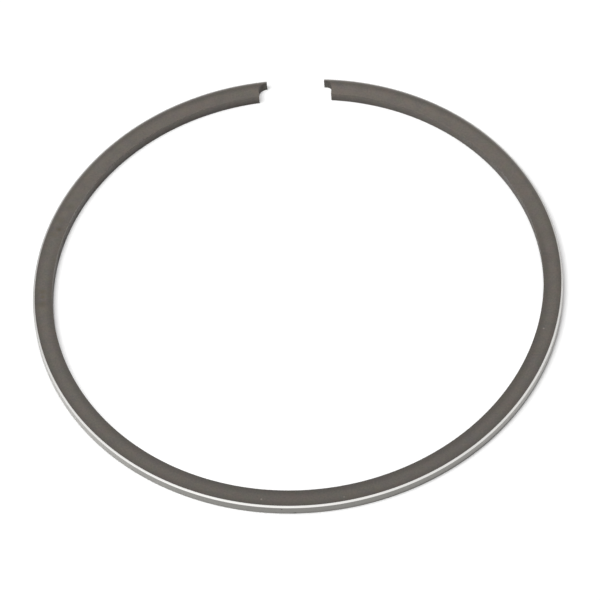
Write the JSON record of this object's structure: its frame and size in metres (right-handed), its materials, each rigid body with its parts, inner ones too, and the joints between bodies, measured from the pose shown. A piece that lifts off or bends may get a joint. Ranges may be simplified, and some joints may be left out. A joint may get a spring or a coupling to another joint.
{
  "type": "piston ring",
  "caption": "Thin split metal ring, sprung open at its end gap, with a flat section, chamfered outer edge and pin-notched ends; seals a piston in its bore.",
  "frame": {"origin": "centre of the free ring's box, on the flat lower side that it lies on", "axes": "+Z along the ring's axis towards the side with the chamfered outer edge, +Y from the ring's back towards its end gap"},
  "size_m": [0.0692, 0.0678, 0.0015],
  "materials": {
    "ring": "dark phosphated sides and inner face, bright plated and lapped running face"
  },
  "bodies": {
    "root": {"piston_ring": "ring"}
  },
  "joints": []
}
